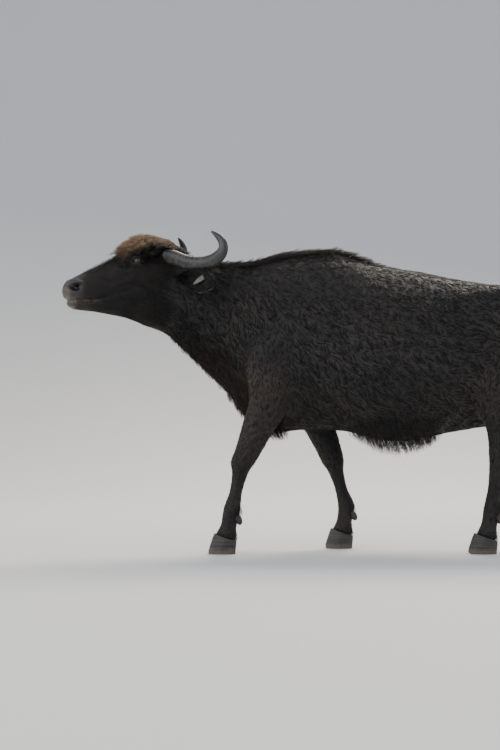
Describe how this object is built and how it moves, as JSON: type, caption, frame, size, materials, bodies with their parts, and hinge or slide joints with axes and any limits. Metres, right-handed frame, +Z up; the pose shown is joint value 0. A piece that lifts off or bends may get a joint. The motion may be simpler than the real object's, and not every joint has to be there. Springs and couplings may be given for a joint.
{
  "type": "water buffalo",
  "caption": "Life-size water buffalo, walking, head held level and turned slightly, with curved horns, shaggy poll hair and a blank ear tag.",
  "frame": {"origin": "on the ground, at the middle of the bottom of the whole animal's box", "axes": "+Z up; +X points backwards along the animal, from head to tail; -Y is the animal's left"},
  "size_m": [2.4258, 0.718, 1.4221],
  "materials": {
    "hide": "matte short-haired hide",
    "tail_hair": "coarse dark hair",
    "horn": "satin ridged horn",
    "hoof": "worn horn",
    "eye": "wet and glossy",
    "tag": "weathered pale plastic"
  },
  "bodies": {
    "root": {"head": "hide", "neck": "hide", "torso": "hide", "tail_upper": "hide", "tail_lower": "hide", "tail_switch": "tail_hair", "eye_left": "eye", "horn_left": "horn", "ear_left": "hide", "eye_right": "eye", "horn_right": "horn", "ear_right": "hide", "ear_tag": "tag", "foreleg_left_upper": "hide", "foreleg_left_lower": "hide", "foreleg_left_claw_inner": "hoof", "foreleg_left_dewclaw_inner": "hoof", "foreleg_left_claw_outer": "hoof", "foreleg_left_dewclaw_outer": "hoof", "foreleg_right_upper": "hide", "foreleg_right_lower": "hide", "foreleg_right_claw_inner": "hoof", "foreleg_right_dewclaw_inner": "hoof", "foreleg_right_claw_outer": "hoof", "foreleg_right_dewclaw_outer": "hoof", "hindleg_left_upper": "hide", "hindleg_left_lower": "hide", "hindleg_left_claw_inner": "hoof", "hindleg_left_dewclaw_inner": "hoof", "hindleg_left_claw_outer": "hoof", "hindleg_left_dewclaw_outer": "hoof", "hindleg_right_upper": "hide", "hindleg_right_lower": "hide", "hindleg_right_claw_inner": "hoof", "hindleg_right_dewclaw_inner": "hoof", "hindleg_right_claw_outer": "hoof", "hindleg_right_dewclaw_outer": "hoof"}
  },
  "joints": []
}
